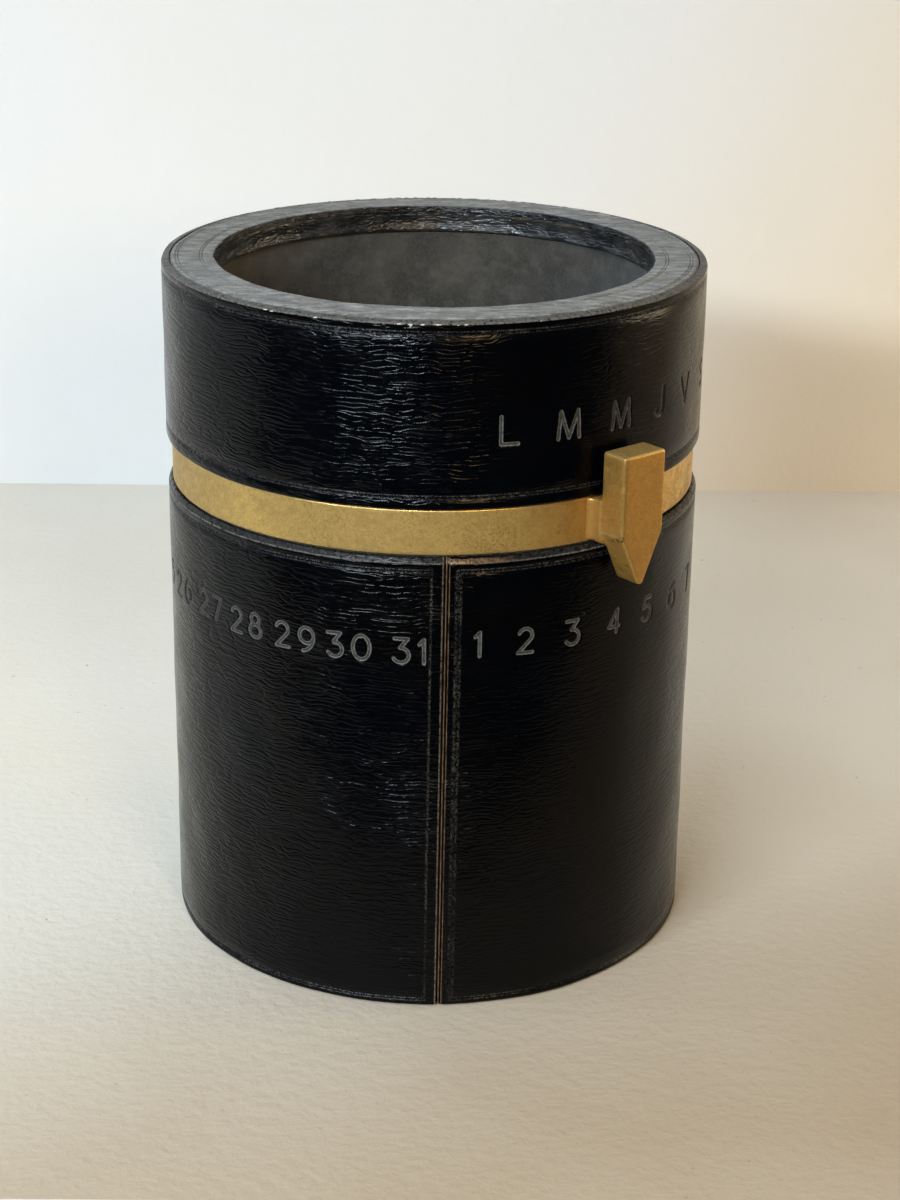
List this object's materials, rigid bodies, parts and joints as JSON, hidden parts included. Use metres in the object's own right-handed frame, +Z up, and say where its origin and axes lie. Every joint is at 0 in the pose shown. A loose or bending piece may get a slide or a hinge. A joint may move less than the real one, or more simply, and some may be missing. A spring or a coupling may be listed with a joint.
{
  "type": "calendar pencil holder",
  "caption": "Leather-covered round desk cup with a turning weekday collar above a turning brass date pointer.",
  "frame": {"origin": "centre of the foot, on the surface the holder stands on", "axes": "+Z up, along the axis that the collar and the pointer ring turn on; -Y to the front, where the seam is"},
  "size_m": [0.085, 0.085, 0.11],
  "materials": {
    "black_leather": "straight-grained, satin, worn grey at the edges",
    "rim_leather": "matte, rubbed grey, with blind-tooled lines",
    "suede": "dark napped suede",
    "board": "pressed board",
    "felt": "thin dense felt",
    "brass": "satin, lightly patinated"
  },
  "bodies": {
    "base": {"foot_disc": "black_leather", "bottom_board": "board", "inner_sleeve": "board", "base_wall": "board", "base_cover": "black_leather", "well_floor_pad": "suede", "well_lining": "suede", "ring_journal": "board", "shoulder_washer": "felt", "retaining_hoop": "board", "top_washer": "felt"},
    "pointer_band": {"pointer_ring": "brass", "ring_felt": "felt", "pointer": "brass"},
    "collar": {"collar_wall": "board", "collar_top_board": "board", "collar_cover": "black_leather", "rim_cover": "rim_leather", "lip_cover": "black_leather", "collar_washer": "felt", "collar_felt_lower": "felt", "collar_felt_upper": "felt"}
  },
  "joints": [
    {"name": "pointer_turn", "type": "hinge", "parent": "base", "child": "pointer_band", "pos_m": [0, 0, 0.0782], "axis": [0, 0, 1], "continuous": true},
    {"name": "collar_turn", "type": "hinge", "parent": "base", "child": "collar", "pos_m": [0, 0, 0.094], "axis": [0, 0, 1], "continuous": true}
  ]
}
